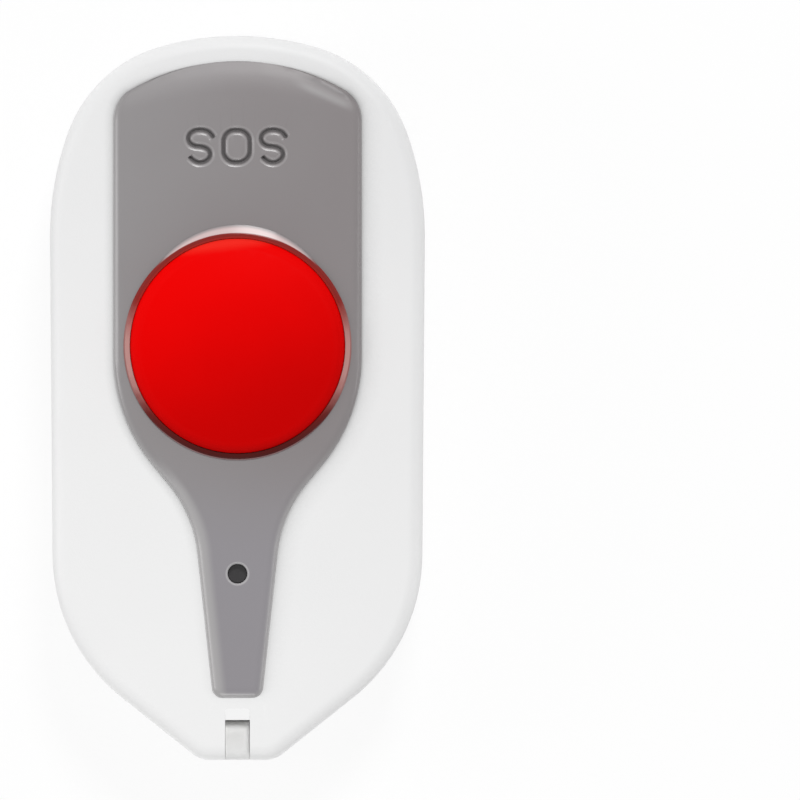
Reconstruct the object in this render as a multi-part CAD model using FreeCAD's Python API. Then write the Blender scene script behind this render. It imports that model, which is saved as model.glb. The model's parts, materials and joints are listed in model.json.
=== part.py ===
import FreeCAD, Part
import math
import os
from FreeCAD import Vector

os.makedirs("parts", exist_ok=True)

# Millimetres and degrees. The button lies on its back: +Z out of the face, +Y to the rounded end.
# The origin is the middle of the back.

# Outline of the shells, seen from the front
body_length = 68.0
body_width = 35.2
crown_radius = 26.2
crown_half_angle = 16.5
flank_radius = 28.4
flank_angle = 20.0
side_lean = 0.45
corner_radius = 17.2
taper_angle = 51.6
nose_width = 7.0
nose_corner_radius = 2.6

# Shells
rear_floor = 1.5
rear_edge_chamfer = 1.0
seam_height = 5.0
side_wall = 1.5
front_edge_radius = 1.4
seam_chamfer = 0.15
tongue_clearance = 0.1
tongue_thickness = 0.8
tongue_height = 1.2
bead_depth = 0.4
bead_height = 0.5
bead_length = 5.0
bead_play = 0.05
upper_bead_y = 9.5
lower_bead_y = -9.5

# Cord eye in the nose
eye_width = 2.32
eye_below_edge = 4.85
eye_gap = 1.24
eye_corner_radius = 0.33
bar_clearance = 0.03
bar_recess = 1.5
bar_inner_round = 1.3
bar_end_round = 0.8

# Face insert and its pocket
insert_thickness = 1.5
insert_proud = 0.5
insert_top_margin = 2.46
insert_side_margin = 0.92
insert_crown_radius = 19.95
insert_corner_radius = 3.2
belly_y = -1.86
belly_radius = 15.8
neck_y = -10.84
neck_width = 8.24
neck_radius = 12.1
stem_end_margin = 5.92
stem_end_width = 4.53
stem_corner_radius = 0.95
insert_edge_radius = 0.9
roll_off_width = 2.85
roll_off_plan_radius = 26.5
roll_off_round = 7.0
roll_off_turn = 60.0
pocket_gap = 0.05
pocket_floor = 0.9
pocket_lip_chamfer = 0.18
peg_side = 1.6
peg_clearance = 0.05
peg_proud = 0.3
upper_peg_side_inset = 4.09
upper_peg_inset = 6.54
lower_peg_inset = 3.53

# Thumb button, from its switch up to the face
button_y = 4.87
button_radius = 10.04
button_travel = 0.5
button_rise = 0.5
button_dome = 0.9
button_edge_round = 0.6
button_shell = 1.2
button_flange = 0.5
button_flange_height = 0.6
button_flange_drop = 0.4
button_boss_radius = 2.2
button_rib = 0.8
button_rib_drop = 1.0
running_gap = 0.02
stop_gap = 0.1
collar_clearance = 0.08
collar_wall = 0.57
collar_proud = 0.3
collar_fit = 0.04
rim_chamfer = 0.2
crescent_radius = 9.35
crescent_shift = 2.05
crescent_depth = 0.03
crescent_step = 0.02

# Silicone membrane, whose rim is held between the front shell and the board
membrane_web = 0.35
membrane_rim_width = 1.7
membrane_step_gap = 0.25
membrane_pad_radius = 3.0
membrane_pad = 0.7
membrane_pip = 0.3
membrane_pip_radius = 1.2
ledge_clearance = 0.1
membrane_side_gap = 0.3

# Push switch
switch_size = 6.2
switch_corner = 0.5
switch_height = 1.6
switch_bore_radius = 2.3
switch_floor = 0.5
switch_cover_sheet = 0.15
switch_cover_width = 5.0
switch_skirt_width = 3.1
switch_cover_skirt = 0.9
switch_gap = 0.02
plunger_radius = 1.6
plunger_proud = 0.4
plunger_clearance = 0.1
plunger_flange = 0.45
plunger_flange_height = 0.4
dome_height = 0.4
dome_foot_radius = 2.1
dome_top_radius = 1.3
lead_width = 0.7
lead_sheet = 0.15
lead_reach = 0.9
lead_height = 0.5
lead_pitch = 4.5

# Circuit board and what stands on it
board_thickness = 1.0
board_gap = 0.35
post_side = 2.4
upper_post_side_inset = 8.0
upper_post_inset = 11.4
lower_post_gap = 0.4
lower_post_inset = 12.0
indicator_y = -16.5
led_length = 2.0
led_width = 1.25
led_base = 0.35
led_lens = 0.45
led_lens_length = 1.3
chip_size = 5.0
chip_height = 0.9
chip_x = -6.4
chip_y = -12.4
chip_mark_radius = 0.3
chip_mark_inset = 0.8
chip_mark_depth = 0.08
crystal_length = 3.2
crystal_width = 2.5
crystal_height = 0.7
crystal_lid = 0.25
crystal_x = 6.2
crystal_y = -12.0
capacitor_length = 1.6
capacitor_width = 0.8
capacitor_pitch = 1.45
capacitor_count = 4
capacitor_row_y = -19.0
capacitor_row_x = 4.6
antenna_gap = 2.19
antenna_span = 12.0
antenna_depth = 4.4
antenna_turns = 3
antenna_strip = 0.8
antenna_sheet = 0.3
antenna_lift = 1.0

# Light guide behind the indicator hole
guide_hole_radius = 0.92
guide_hole_chamfer = 0.12
guide_play = 0.07
guide_recess = 0.7
guide_flange = 0.85
guide_flange_height = 0.8
guide_led_gap = 0.1

# Coin cell and its contacts
cell_y = -1.5
cell_radius = 10.0
cell_thickness = 3.2
cell_cap_radius = 8.7
cell_cap_height = 0.45
contact_length = 9.0
contact_width = 4.0
contact_thickness = 0.1
clip_gap = 0.25
clip_sheet = 0.25
clip_side_gap = 0.8
clip_width = 11.0
clip_foot = 1.4
clip_foot_width = 5.5
clip_bend = 0.5
clip_finger_width = 2.6
clip_finger_length = 6.0
clip_slot = 0.6

# Heights, worked out upwards from the back
clip_bottom = rear_floor + clip_gap
cell_bottom = clip_bottom + clip_sheet
cell_top = cell_bottom + cell_thickness
board_bottom = cell_top + contact_thickness
board_top = board_bottom + board_thickness
switch_top = board_top + switch_height
plunger_top = switch_top + plunger_proud
pip_bottom = plunger_top + running_gap
pad_top = pip_bottom + membrane_pip + membrane_pad
cap_boss_bottom = pad_top + running_gap
flange_bottom = cap_boss_bottom - button_flange_drop
flange_top = flange_bottom + button_flange_height
ledge_top = flange_bottom - button_travel - ledge_clearance
pocket_underside = flange_top + stop_gap
pocket_level = pocket_underside + pocket_floor
face_level = pocket_level + insert_thickness
front_level = face_level - insert_proud
collar_top = face_level + collar_proud
cap_edge = collar_top + button_rise
led_top = board_top + led_base + led_lens

# Sizes in plan
half_length = body_length / 2
half_width = body_width / 2
tongue_inset = side_wall + tongue_clearance
rear_inner = tongue_inset + tongue_thickness
collar_inner_radius = button_radius + collar_clearance
collar_outer_radius = collar_inner_radius + collar_wall
crescent_y = button_y + crescent_shift
button_flange_radius = button_radius + button_flange
skirt_inner_radius = button_radius - button_shell
rim_inner_radius = button_flange_radius + membrane_side_gap
rim_outer_radius = rim_inner_radius + membrane_rim_width
insert_half_width = collar_outer_radius + insert_side_margin
insert_top_y = half_length - insert_top_margin
stem_end_y = -half_length + stem_end_margin
antenna_y = button_y + rim_outer_radius + antenna_gap
eye_top = -half_length + eye_below_edge
bar_top_y = eye_top - eye_gap
near = 0.005


def polar(centre, radius, degrees):
    angle = math.radians(degrees)
    return centre + Vector(radius * math.cos(angle), radius * math.sin(angle), 0)


def arc(start, through, end):
    return Part.Arc(start, through, end).toShape()


def rounded_path(corners, radii):
    # straight runs joined by tangent arcs, one radius for each corner between the two ends
    edges = []
    start = corners[0]
    for before, corner, after, radius in zip(corners, corners[1:], corners[2:], radii):
        back = (before - corner).normalize()
        onward = (after - corner).normalize()
        half_turn = (math.pi - back.getAngle(onward)) / 2
        reach = radius * math.tan(half_turn)
        inward = (back + onward).normalize()
        middle = corner + inward * (radius / math.cos(half_turn) - radius)
        edges.append(Part.makeLine(start, corner + back * reach))
        edges.append(arc(corner + back * reach, middle, corner + onward * reach))
        start = corner + onward * reach
    edges.append(Part.makeLine(start, corners[-1]))
    return edges


def mirrored_wire(right_edges):
    right = Part.Wire(Part.__sortEdges__(right_edges))
    left = right.mirror(Vector(0, 0, 0), Vector(1, 0, 0))
    return Part.Wire(Part.__sortEdges__(right.Edges + left.Edges))


def shell_outline():
    # crown, shoulder and flank arcs down to a slightly leaning side, then one large corner and the nose
    crown_end = 90 - crown_half_angle
    crown_cos = math.cos(math.radians(crown_end))
    flank_cos = math.cos(math.radians(flank_angle))
    left_over = half_width - crown_radius * crown_cos - flank_radius * (1 - flank_cos)
    shoulder_radius = left_over / (flank_cos - crown_cos)
    crown_centre = Vector(0, half_length - crown_radius, 0)
    shoulder_centre = polar(crown_centre, crown_radius - shoulder_radius, crown_end)
    flank_centre = polar(shoulder_centre, shoulder_radius - flank_radius, flank_angle)
    side_start = polar(flank_centre, flank_radius, -side_lean)
    arcs = [
        (crown_centre, crown_radius, 90, crown_end),
        (shoulder_centre, shoulder_radius, crown_end, flank_angle),
        (flank_centre, flank_radius, flank_angle, -side_lean),
    ]
    edges = []
    for centre, radius, first, last in arcs:
        ends = [polar(centre, radius, angle) for angle in (first, (first + last) / 2, last)]
        edges.append(arc(*ends))
    taper_slope = math.tan(math.radians(taper_angle))
    lean_slope = math.tan(math.radians(side_lean))
    nose_x = nose_width / 2
    fall = side_start.x - nose_x - lean_slope * (side_start.y + half_length)
    corner_y = -half_length + fall / (taper_slope - lean_slope)
    corners = [
        side_start,
        Vector(nose_x + taper_slope * (corner_y + half_length), corner_y, 0),
        Vector(nose_x, -half_length, 0),
        Vector(0, -half_length, 0),
    ]
    edges += rounded_path(corners, [corner_radius, nose_corner_radius])
    return mirrored_wire(edges)


def inset_face(wire, inset):
    # the wire's own face, or one drawn in from it, or out where the inset is negative
    if inset:
        wire = wire.makeOffset2D(-inset)
    return Part.Face(wire)


def prism(face, bottom, top):
    base = face.copy()
    base.translate(Vector(0, 0, bottom))
    return base.extrude(Vector(0, 0, top - bottom))


def body_prism(inset, bottom, top):
    return prism(inset_face(shell_outline(), inset), bottom, top)


def sealed_prism(inset, bottom, top):
    # the dry space inside the shells, which ends above the cord eye
    end_y = eye_top + inset
    dry = Part.makeBox(body_width, half_length - end_y, top - bottom, Vector(-half_width, end_y, bottom))
    return body_prism(inset, bottom, top).common(dry)


def insert_outline():
    # a flat crown, straight sides round the button, a belly, a neck and a narrowing stem
    crown_centre = Vector(0, insert_top_y - insert_crown_radius, 0)
    corner_x = insert_half_width - insert_corner_radius
    corner_reach = insert_crown_radius - insert_corner_radius
    corner_angle = math.degrees(math.acos(corner_x / corner_reach))
    corner_centre = polar(crown_centre, corner_reach, corner_angle)
    crown_end = polar(crown_centre, insert_crown_radius, corner_angle)
    side_start = polar(corner_centre, insert_corner_radius, 0)
    crown_middle = polar(crown_centre, insert_crown_radius, (90 + corner_angle) / 2)
    corner_middle = polar(corner_centre, insert_corner_radius, corner_angle / 2)
    crown_start = Vector(0, insert_top_y, 0)
    edges = [arc(crown_start, crown_middle, crown_end), arc(crown_end, corner_middle, side_start)]
    corners = [
        side_start,
        Vector(insert_half_width, belly_y, 0),
        Vector(neck_width / 2, neck_y, 0),
        Vector(stem_end_width / 2, stem_end_y, 0),
        Vector(0, stem_end_y, 0),
    ]
    edges += rounded_path(corners, [belly_radius, neck_radius, stem_corner_radius])
    return mirrored_wire(edges)


def edges_on(shape, wire, height):
    # edges that run over the wire in plan, at one height
    found = []
    for edge in shape.Edges:
        middle = edge.valueAt((edge.FirstParameter + edge.LastParameter) / 2)
        foot = Part.Vertex(middle.x, middle.y, 0)
        if abs(middle.z - height) < near and foot.distToShape(wire)[0] < near:
            found.append(edge)
    return found


def cylinder(x, y, radius, bottom, top):
    return Part.makeCylinder(radius, top - bottom, Vector(x, y, bottom))


def block(x, y, length, width, bottom, top):
    return Part.makeBox(length, width, top - bottom, Vector(x - length / 2, y - width / 2, bottom))


def revolved(wire, x, y, turn=360):
    # a closed wire in the plane of radius and height, turned about an upright axis
    solid = Part.Face(wire).revolve(Vector(0, 0, 0), Vector(0, 0, 1), turn)
    solid.translate(Vector(x, y, 0))
    return solid


def turned(profile, x, y):
    # a closed profile of (radius, height) points
    points = [Vector(radius, 0, height) for radius, height in profile]
    return revolved(Part.makePolygon(points + points[:1]), x, y)


def circles_at(shape, height, radius):
    # round edges of one radius at one height
    found = []
    for edge in shape.Edges:
        if edge.Degenerated or not isinstance(edge.Curve, Part.Circle):
            continue
        centre = edge.Curve.Center
        level = abs(centre.z - height) < near and abs(edge.Curve.Axis.z) > 1 - near
        if level and abs(edge.Curve.Radius - radius) < near:
            found.append(edge)
    return found


def both_sides(x, y):
    return [(-x, y), (x, y)]


def post_places():
    # two near the rounded end and two beside the rows of capacitors
    lower_x = capacitor_row_x + (capacitor_length + post_side) / 2 + lower_post_gap
    upper = both_sides(half_width - upper_post_side_inset, half_length - upper_post_inset)
    return upper + both_sides(lower_x, lower_post_inset - half_length)


def peg_places():
    upper = both_sides(insert_half_width - upper_peg_side_inset, insert_top_y - upper_peg_inset)
    return upper + [(0.0, stem_end_y + lower_peg_inset)]


def eye_slot(end_y, bottom, top):
    # the straight slot of the cord eye, with its two upper corners rounded
    slot = Part.makeBox(eye_width, eye_top - end_y, top - bottom, Vector(-eye_width / 2, end_y, bottom))
    corners = []
    for edge in slot.Edges:
        box = edge.BoundBox
        if box.ZLength > near and abs(box.YMin - eye_top) < near:
            corners.append(edge)
    return slot.makeFillet(eye_corner_radius, corners)


def collar_flank():
    # a raked crescent above the ring: its foot is a smaller circle, shifted towards the rounded end
    foot_height = face_level - crescent_depth
    foot = cylinder(0, crescent_y, crescent_radius, pocket_level, foot_height)
    rings = []
    for y, radius, height in (
        (crescent_y, crescent_radius, foot_height),
        (button_y, collar_outer_radius - rim_chamfer, collar_top - crescent_step),
    ):
        rings.append(Part.Wire(Part.makeCircle(radius, Vector(0, y, height))))
    return foot.fuse(Part.makeLoft(rings, True, False))


def snap_beads(play):
    # ribs on the tongue's sides that snap into the front shell, or with play the grooves for them
    middle = seam_height + tongue_height / 2
    half = bead_height / 2 + play
    band = sealed_prism(tongue_inset - bead_depth - play, middle - half, middle + half)
    length = bead_length + 2 * play
    return band.common([
        block(0, y, body_width, length, seam_height, face_level) for y in (upper_bead_y, lower_bead_y)
    ])


def front_housing():
    outline = shell_outline()
    shell = body_prism(0, seam_height, front_level)
    shell = shell.makeFillet(front_edge_radius, edges_on(shell, outline, front_level))
    shell = shell.makeChamfer(seam_chamfer, edges_on(shell, outline, seam_height))

    pocket_face = inset_face(insert_outline(), -pocket_gap)
    shell = shell.cut(prism(pocket_face, pocket_level, face_level))
    shell = shell.makeChamfer(pocket_lip_chamfer, edges_on(shell, pocket_face.OuterWire, front_level))

    shell = shell.cut(sealed_prism(side_wall, 0, pocket_underside))
    root = pocket_underside + pocket_floor / 2
    shell = shell.fuse([block(x, y, post_side, post_side, board_top, root) for x, y in post_places()])
    peg_hole = peg_side + 2 * peg_clearance
    holes = [block(x, y, peg_hole, peg_hole, pocket_underside - 1, face_level) for x, y in peg_places()]
    holes.append(cylinder(0, button_y, collar_inner_radius, seam_height, face_level))
    holes.append(cylinder(0, indicator_y, guide_hole_radius, seam_height, face_level))
    holes.append(eye_slot(-body_length, 0, 2 * face_level))
    holes.append(snap_beads(bead_play))
    return shell.cut(holes).removeSplitter()


def eye_bar():
    # the bar that the cord loops round: it fills the front shell's slot, rounded over both its ends
    bar_top = front_level - bar_recess
    foot = seam_height / 2
    start_y = -half_length
    corners = [
        Vector(0, start_y, foot),
        Vector(0, start_y, bar_top),
        Vector(0, bar_top_y, bar_top),
        Vector(0, bar_top_y, foot),
    ]
    edges = rounded_path(corners, [bar_end_round, bar_inner_round])
    edges.append(Part.makeLine(corners[-1], corners[0]))
    width = eye_width - 2 * bar_clearance
    bar = Part.Face(Part.Wire(edges)).extrude(Vector(width, 0, 0))
    bar.translate(Vector(-width / 2, 0, 0))
    return bar


def rear_cover():
    outline = shell_outline()
    tray = body_prism(0, 0, seam_height)
    tray = tray.makeChamfer(rear_edge_chamfer, edges_on(tray, outline, 0.0))
    tongue = sealed_prism(tongue_inset, rear_floor, seam_height + tongue_height)
    tray = tray.fuse([tongue, snap_beads(0)])
    tray = tray.cut(sealed_prism(rear_inner, rear_floor, face_level))
    foot = rear_floor / 2
    tray = tray.fuse([block(x, y, post_side, post_side, foot, board_bottom) for x, y in post_places()])
    return tray.cut(eye_slot(bar_top_y, -1, face_level)).fuse(eye_bar()).removeSplitter()


def roll_off():
    # half a ring that rounds the insert down towards its crown, along an arc flatter than the crown itself
    start = roll_off_plan_radius

    def on_round(degrees):
        angle = math.radians(degrees)
        return Vector(start + roll_off_round * math.sin(angle), 0, roll_off_round * (math.cos(angle) - 1))

    low = on_round(roll_off_turn)
    edges = [
        arc(on_round(0), on_round(roll_off_turn / 2), low),
        Part.makeLine(low, Vector(low.x, 0, roll_off_round)),
        Part.makeLine(Vector(low.x, 0, roll_off_round), Vector(start, 0, roll_off_round)),
        Part.makeLine(Vector(start, 0, roll_off_round), on_round(0)),
    ]
    start_y = insert_top_y - roll_off_width
    cutter = revolved(Part.Wire(edges), 0, start_y - start, 180)
    cutter.translate(Vector(0, 0, face_level))
    return cutter


def face_insert():
    outline = insert_outline()
    plate = prism(Part.Face(outline), pocket_level, face_level)
    plate = plate.makeFillet(insert_edge_radius, edges_on(plate, outline, face_level))
    plate = plate.cut([
        roll_off(),
        cylinder(0, button_y, collar_outer_radius + collar_fit, 0, 2 * face_level),
        cylinder(0, crescent_y, crescent_radius + collar_fit, 0, 2 * face_level),
        cylinder(0, indicator_y, guide_hole_radius, 0, face_level + 1),
    ])
    plate = plate.makeChamfer(guide_hole_chamfer, circles_at(plate, face_level, guide_hole_radius))
    peg_top = pocket_level + insert_thickness / 2
    foot = pocket_underside - peg_proud
    pegs = [block(x, y, peg_side, peg_side, foot, peg_top) for x, y in peg_places()]
    return plate.fuse(pegs).removeSplitter()


def button_collar():
    # a ring and its flank, which stand on the pocket's floor inside the insert
    ring = turned([
        (collar_inner_radius, pocket_level),
        (collar_outer_radius, pocket_level),
        (collar_outer_radius, collar_top - rim_chamfer),
        (collar_outer_radius - rim_chamfer, collar_top),
        (collar_inner_radius, collar_top),
    ], 0, button_y)
    flank = collar_flank().cut(cylinder(0, button_y, collar_inner_radius, 0, 2 * face_level))
    return ring.fuse(flank).removeSplitter()


def button_cap():
    # a shell with a domed face, a stop flange at its foot, a boss for the membrane and two crossed ribs
    ceiling = cap_edge - button_shell
    apex = cap_edge + button_dome
    dome_radius = (button_radius ** 2 + button_dome ** 2) / (2 * button_dome)
    edge_inner = button_radius - button_edge_round
    edge_height = apex - dome_radius + math.sqrt(dome_radius ** 2 - edge_inner ** 2)
    edge_middle = (1 - math.sqrt(0.5)) * button_edge_round
    cap = turned([
        (0, apex),
        (edge_inner, apex),
        (edge_inner, edge_height),
        (button_radius - edge_middle, cap_edge - edge_middle),
        (button_radius, cap_edge - button_edge_round),
        (button_radius, flange_top),
        (button_flange_radius, flange_top),
        (button_flange_radius, flange_bottom),
        (skirt_inner_radius, flange_bottom),
        (skirt_inner_radius, ceiling),
        (0, ceiling),
    ], 0, button_y)
    cap = cap.common(Part.makeSphere(dome_radius, Vector(0, button_y, apex - dome_radius), Vector(0, 1, 0)))
    rib_length = 2 * skirt_inner_radius + button_shell
    rib_bottom = ceiling - button_rib_drop
    rib_top = ceiling + button_shell / 2
    return cap.fuse([
        cylinder(0, button_y, button_boss_radius, cap_boss_bottom, rib_top),
        block(0, button_y, rib_length, button_rib, rib_bottom, rib_top),
        block(0, button_y, button_rib, rib_length, rib_bottom, rib_top),
    ]).removeSplitter()


def button_membrane():
    # a tall rim with a ledge inside it, a step up to the web and a pad whose pip stands over the plunger
    pad_bottom = pip_bottom + membrane_pip
    step_radius = skirt_inner_radius - membrane_step_gap
    return turned([
        (0, pip_bottom),
        (membrane_pip_radius, pip_bottom),
        (membrane_pip_radius, pad_bottom),
        (step_radius - membrane_web, pad_bottom),
        (step_radius - membrane_web, board_top),
        (rim_outer_radius, board_top),
        (rim_outer_radius, pocket_underside),
        (rim_inner_radius, pocket_underside),
        (rim_inner_radius, ledge_top),
        (step_radius, ledge_top),
        (step_radius, pad_bottom + membrane_web),
        (membrane_pad_radius, pad_bottom + membrane_web),
        (membrane_pad_radius, pad_top),
        (0, pad_top),
    ], 0, button_y)


def light_guide():
    # a clear rod whose flange bears on the pocket floor's underside
    rod_radius = guide_hole_radius - guide_play
    flange_radius = rod_radius + guide_flange
    rod = cylinder(0, indicator_y, rod_radius, led_top + guide_led_gap, face_level - guide_recess)
    flange_foot = pocket_underside - guide_flange_height
    flange = cylinder(0, indicator_y, flange_radius, flange_foot, pocket_underside)
    return rod.fuse(flange)


def circuit_board():
    return sealed_prism(rear_inner + board_gap, board_bottom, board_top)


def switch_base():
    body_top = switch_top - switch_cover_sheet
    base = block(0, button_y, switch_size, switch_size, board_top, body_top)
    upright = [edge for edge in base.Edges if edge.BoundBox.ZLength > near]
    base = base.makeFillet(switch_corner, upright)
    return base.cut(cylinder(0, button_y, switch_bore_radius, board_top + switch_floor, face_level))


def switch_cover():
    # sheet-metal plate with two skirts folded down over the base's sides
    plate_bottom = switch_top - switch_cover_sheet
    skirt_bottom = plate_bottom - switch_cover_skirt
    side = switch_size / 2 + switch_gap
    plate_length = 2 * (side + switch_cover_sheet)
    plate = block(0, button_y, plate_length, switch_cover_width, plate_bottom, switch_top)
    skirts = []
    for way in (-1, 1):
        x = way * (side + switch_cover_sheet / 2)
        skirts.append(block(x, button_y, switch_cover_sheet, switch_skirt_width, skirt_bottom, switch_top))
    hole = cylinder(0, button_y, plunger_radius + plunger_clearance, 0, face_level)
    return plate.fuse(skirts).cut(hole).removeSplitter()


def switch_leads():
    # four gull-wing leads that come out of the base and stand on the board
    start = switch_size / 2
    shoulder = start + lead_reach / 2
    end = start + lead_reach
    upper = board_top + lead_height
    foot_top = board_top + lead_sheet
    profile = [
        (start, upper),
        (shoulder, upper),
        (shoulder, board_top),
        (end, board_top),
        (end, foot_top),
        (shoulder + lead_sheet, foot_top),
        (shoulder + lead_sheet, upper + lead_sheet),
        (start, upper + lead_sheet),
    ]
    leads = []
    for side in (-1, 1):
        points = [Vector(side * x, 0, z) for x, z in profile]
        lead = Part.Face(Part.makePolygon(points + points[:1])).extrude(Vector(0, lead_width, 0))
        for end_way in (-1, 1):
            middle_y = button_y + end_way * lead_pitch / 2
            leads.append(lead.translated(Vector(0, middle_y - lead_width / 2, 0)))
    return Part.makeCompound(leads)


def switch_dome():
    # snap dome that stands on the switch's floor, filled below
    foot = board_top + switch_floor
    return turned([
        (0, foot),
        (dome_foot_radius, foot),
        (dome_top_radius, foot + dome_height),
        (0, foot + dome_height),
    ], 0, button_y)


def switch_plunger():
    foot = board_top + switch_floor + dome_height + running_gap
    flange_radius = plunger_radius + plunger_flange
    return turned([
        (0, foot),
        (flange_radius, foot),
        (flange_radius, foot + plunger_flange_height),
        (plunger_radius, foot + plunger_flange_height),
        (plunger_radius, plunger_top),
        (0, plunger_top),
    ], 0, button_y)


def status_led():
    base = block(0, indicator_y, led_length, led_width, board_top, board_top + led_base)
    lens = block(0, indicator_y, led_lens_length, led_width, board_top + led_base, led_top)
    return base.fuse(lens).removeSplitter()


def radio_chip():
    chip_top = board_top + chip_height
    chip = block(chip_x, chip_y, chip_size, chip_size, board_top, chip_top)
    mark_x = chip_x - chip_size / 2 + chip_mark_inset
    mark_y = chip_y + chip_size / 2 - chip_mark_inset
    return chip.cut(cylinder(mark_x, mark_y, chip_mark_radius, chip_top - chip_mark_depth, chip_top + 1))


def clock_crystal():
    rim_top_height = board_top + crystal_height - crystal_lid
    base = block(crystal_x, crystal_y, crystal_length, crystal_width, board_top, rim_top_height)
    inner_length = crystal_length - 2 * crystal_lid
    inner_width = crystal_width - 2 * crystal_lid
    lid = block(crystal_x, crystal_y, inner_length, inner_width, rim_top_height, board_top + crystal_height)
    return base.fuse(lid).removeSplitter()


def chip_capacitors():
    # two rows, one either side of the indicator
    top = board_top + capacitor_width
    blocks = []
    for index in range(capacitor_count):
        row_y = capacitor_row_y + (index - (capacitor_count - 1) / 2) * capacitor_pitch
        for x, y in both_sides(capacitor_row_x, row_y):
            blocks.append(block(x, y, capacitor_length, capacitor_width, board_top, top))
    return Part.makeCompound(blocks)


def antenna():
    # flat strip folded to and fro over the board's upper end, on a leg at each end
    step = antenna_span / (2 * antenna_turns)
    level = board_top + antenna_lift
    top = level + antenna_sheet
    middle_y = antenna_y + antenna_depth / 2
    runs = []
    for index in range(2 * antenna_turns + 1):
        x = -antenna_span / 2 + index * step
        runs.append(block(x, middle_y, antenna_strip, antenna_depth + antenna_strip, level, top))
        if index < 2 * antenna_turns:
            y = antenna_y if index % 2 else antenna_y + antenna_depth
            runs.append(block(x + step / 2, y, step, antenna_strip, level, top))
    for x in (-antenna_span / 2, antenna_span / 2):
        runs.append(block(x, middle_y, antenna_strip, antenna_sheet, board_top, top))
    return runs[0].fuse(runs[1:]).removeSplitter()


def coin_cell():
    can_top = cell_top - cell_cap_height
    return turned([
        (0, cell_bottom),
        (cell_radius, cell_bottom),
        (cell_radius, can_top),
        (cell_cap_radius, can_top),
        (cell_cap_radius, cell_top),
        (0, cell_top),
    ], 0, cell_y)


def cell_contact():
    return block(0, cell_y, contact_length, contact_width, cell_top, board_bottom)


def battery_clip():
    # one folded strip under the cell, with its two feet soldered to the board
    side = cell_radius + clip_side_gap
    outer = block(0, cell_y, 2 * (side + clip_sheet), clip_width, clip_bottom, board_bottom)
    inner = block(0, cell_y, 2 * side, clip_width + 2, cell_bottom, board_bottom + 1)
    feet = []
    for way in (-1, 1):
        x = way * (side + clip_foot / 2)
        feet.append(block(x, cell_y, clip_foot, clip_foot_width, board_bottom - clip_sheet, board_bottom))
    bends = []
    for edge in outer.Edges:
        box = edge.BoundBox
        if box.YLength > near and abs(box.ZMax - clip_bottom) < near:
            bends.append(edge)
    strip = outer.makeFillet(clip_bend, bends).cut(inner)
    strip = strip.fuse(feet)
    slots = []
    for way in (-1, 1):
        x = way * (clip_finger_width / 2 + clip_slot / 2)
        slots.append(block(x, cell_y + clip_width / 2, clip_slot, 2 * clip_finger_length, 0, board_bottom))
    return strip.cut(slots).removeSplitter()


pieces = [
    front_housing, rear_cover, face_insert, button_collar, button_cap, button_membrane, light_guide,
    circuit_board, switch_base, switch_leads, switch_cover, switch_dome, switch_plunger, status_led,
    radio_chip, clock_crystal, chip_capacitors, antenna, battery_clip, cell_contact, coin_cell,
]
for piece in pieces:
    shape = piece()
    shape.exportStep(f"parts/{piece.__name__}.step")
    size = shape.optimalBoundingBox()
    sides = f"{size.XLength:.2f} x {size.YLength:.2f} x {size.ZLength:.2f} mm"
    print(piece.__name__, sides, len(shape.Solids), "valid" if shape.isValid() else "not valid")
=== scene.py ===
import json
import math

import bmesh
import bpy
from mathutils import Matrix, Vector


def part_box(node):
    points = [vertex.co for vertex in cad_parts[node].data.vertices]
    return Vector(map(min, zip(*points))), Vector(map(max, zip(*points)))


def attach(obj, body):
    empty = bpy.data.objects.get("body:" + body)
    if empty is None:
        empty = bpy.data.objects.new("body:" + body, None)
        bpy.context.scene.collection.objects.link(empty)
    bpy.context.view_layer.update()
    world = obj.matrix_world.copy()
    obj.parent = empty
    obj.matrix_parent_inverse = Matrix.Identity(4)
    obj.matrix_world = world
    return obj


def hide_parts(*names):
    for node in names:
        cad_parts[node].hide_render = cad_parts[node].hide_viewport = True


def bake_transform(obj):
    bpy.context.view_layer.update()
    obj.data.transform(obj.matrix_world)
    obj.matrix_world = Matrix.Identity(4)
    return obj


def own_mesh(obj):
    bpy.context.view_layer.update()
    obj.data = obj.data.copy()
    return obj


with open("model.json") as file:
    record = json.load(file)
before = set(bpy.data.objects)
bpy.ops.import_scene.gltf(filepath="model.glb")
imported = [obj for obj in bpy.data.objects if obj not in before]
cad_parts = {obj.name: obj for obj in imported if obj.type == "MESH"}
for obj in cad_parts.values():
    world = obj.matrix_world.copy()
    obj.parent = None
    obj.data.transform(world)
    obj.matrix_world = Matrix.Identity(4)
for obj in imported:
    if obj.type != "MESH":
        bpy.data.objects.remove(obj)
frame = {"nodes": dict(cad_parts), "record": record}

for leftOver in ("Cube", "Light", "Camera"):
    if leftOver in bpy.data.objects:
        bpy.data.objects.remove(bpy.data.objects[leftOver])
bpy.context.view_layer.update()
nodes = frame["nodes"]
scene = bpy.context.scene
mm = 0.001
print("frame loaded with", len(nodes), "nodes")


class Signal:
    # a socket of a material that takes part in sums like a number
    def __init__(self, recipe, socket):
        self.recipe = recipe
        self.socket = socket

    def combined(self, operation, first, second=0.0):
        return self.recipe.add("ShaderNodeMath", {"operation": operation}, {0: first, 1: second})

    def __abs__(self):
        return self.combined("ABSOLUTE", self)

    def __add__(self, other):
        return self.combined("ADD", self, other)

    def __radd__(self, other):
        return self.combined("ADD", other, self)

    def __sub__(self, other):
        return self.combined("SUBTRACT", self, other)

    def __rsub__(self, other):
        return self.combined("SUBTRACT", other, self)

    def __mul__(self, other):
        return self.combined("MULTIPLY", self, other)

    def __rmul__(self, other):
        return self.combined("MULTIPLY", other, self)

    def __pow__(self, other):
        return self.combined("POWER", self, other)

    def __rpow__(self, other):
        return self.combined("POWER", other, self)


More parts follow.
